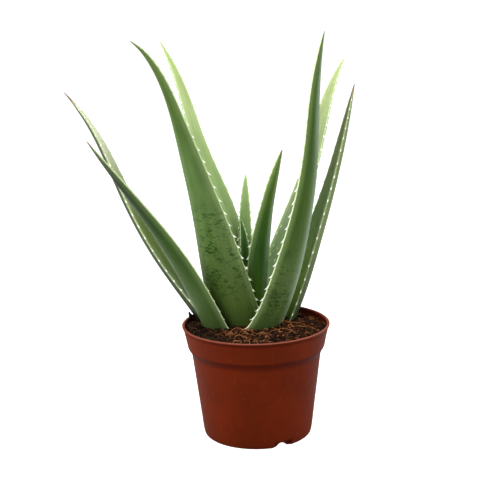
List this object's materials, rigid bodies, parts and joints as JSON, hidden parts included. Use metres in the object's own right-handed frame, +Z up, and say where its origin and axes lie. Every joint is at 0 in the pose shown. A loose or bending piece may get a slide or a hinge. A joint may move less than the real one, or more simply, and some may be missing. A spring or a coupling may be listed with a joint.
{
  "type": "potted aloe plant",
  "caption": "Young aloe with long, thick, tapering leaves that fan out from a short buried stem, in coir soil in a round plastic nursery pot with a rim band.",
  "frame": {"origin": "middle of the flat base of the pot, on the surface that it stands on", "axes": "+Z straight up along the pot's axis, -Y towards the front, +X to the viewer's right"},
  "size_m": [0.2349, 0.218, 0.3249],
  "materials": {
    "pot_plastic": "moulded brick-brown plastic, satin, with a faint grain",
    "soil": "dry coir fibre and peat crumbs, fully matte",
    "stem": "fibrous, matte",
    "leaf": "waxy green skin, satin, with a pale bloom, pale toothed edges and faint darker blotches"
  },
  "bodies": {
    "root": {"pot": "pot_plastic", "soil": "soil", "stem": "stem", "leaf_far_left": "leaf", "leaf_front_left": "leaf", "leaf_tall_left": "leaf", "leaf_back_left": "leaf", "leaf_small_back": "leaf", "leaf_tiny": "leaf", "leaf_centre": "leaf", "leaf_tall_right": "leaf", "leaf_back_right": "leaf", "leaf_far_right": "leaf"}
  },
  "joints": []
}
